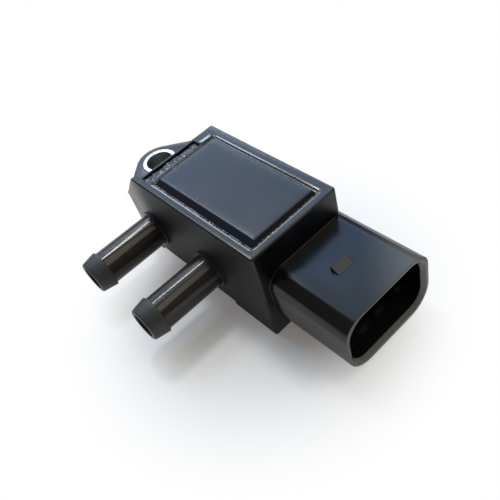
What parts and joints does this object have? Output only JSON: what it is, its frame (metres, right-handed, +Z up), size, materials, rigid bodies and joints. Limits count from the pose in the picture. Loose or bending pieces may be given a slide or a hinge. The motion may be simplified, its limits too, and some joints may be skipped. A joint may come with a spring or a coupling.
{
  "type": "differential pressure sensor",
  "caption": "Black moulded differential pressure sensor for a diesel particle filter, with barbed hose nipples, a bolt lug with a steel bush, a bonded lid and a connector shroud.",
  "frame": {"origin": "on the axis of the mounting bush, in the plane that the sensor is bolted to", "axes": "+X runs from the lug to the connector, the hose nipples point along -Y, and +Z is up, towards the lid and the screw's head"},
  "size_m": [0.0731, 0.0437, 0.0244],
  "materials": {
    "moulded_black": "dark glass-filled plastic, satin as moulded",
    "lid_plastic": "smooth dark plastic with a soft gloss",
    "adhesive": "dark cured adhesive, uneven and shiny",
    "bush_steel": "plated steel, bright turned end",
    "terminal_metal": "tinned copper alloy",
    "seal_rubber": "black rubber",
    "base_plastic": "grey-black moulded plastic",
    "board_laminate": "green glass-fibre laminate",
    "cell_glass": "borosilicate glass block",
    "silicon": "polished silicon",
    "wire_metal": "drawn aluminium",
    "gel": "clear soft gel",
    "chip_plastic": "moulded chip body",
    "capacitor_ceramic": "tan ceramic block"
  },
  "bodies": {
    "root": {"housing": "moulded_black", "lid": "lid_plastic", "lid_bead": "adhesive", "mounting_bush": "bush_steel", "terminal_supply": "terminal_metal", "terminal_signal": "terminal_metal", "terminal_ground": "terminal_metal", "bond_strip_supply": "wire_metal", "bond_strip_signal": "wire_metal", "bond_strip_ground": "wire_metal", "high_port_seal": "seal_rubber", "low_port_seal": "seal_rubber", "sensor_base": "base_plastic", "board_glue": "adhesive", "circuit_board": "board_laminate", "glass_pedestal": "cell_glass", "pressure_die": "silicon", "die_wires": "wire_metal", "gel_dam": "base_plastic", "protective_gel": "gel", "signal_chip": "chip_plastic", "capacitor_1": "capacitor_ceramic", "capacitor_2": "capacitor_ceramic", "capacitor_3": "capacitor_ceramic", "capacitor_4": "capacitor_ceramic"}
  },
  "joints": []
}
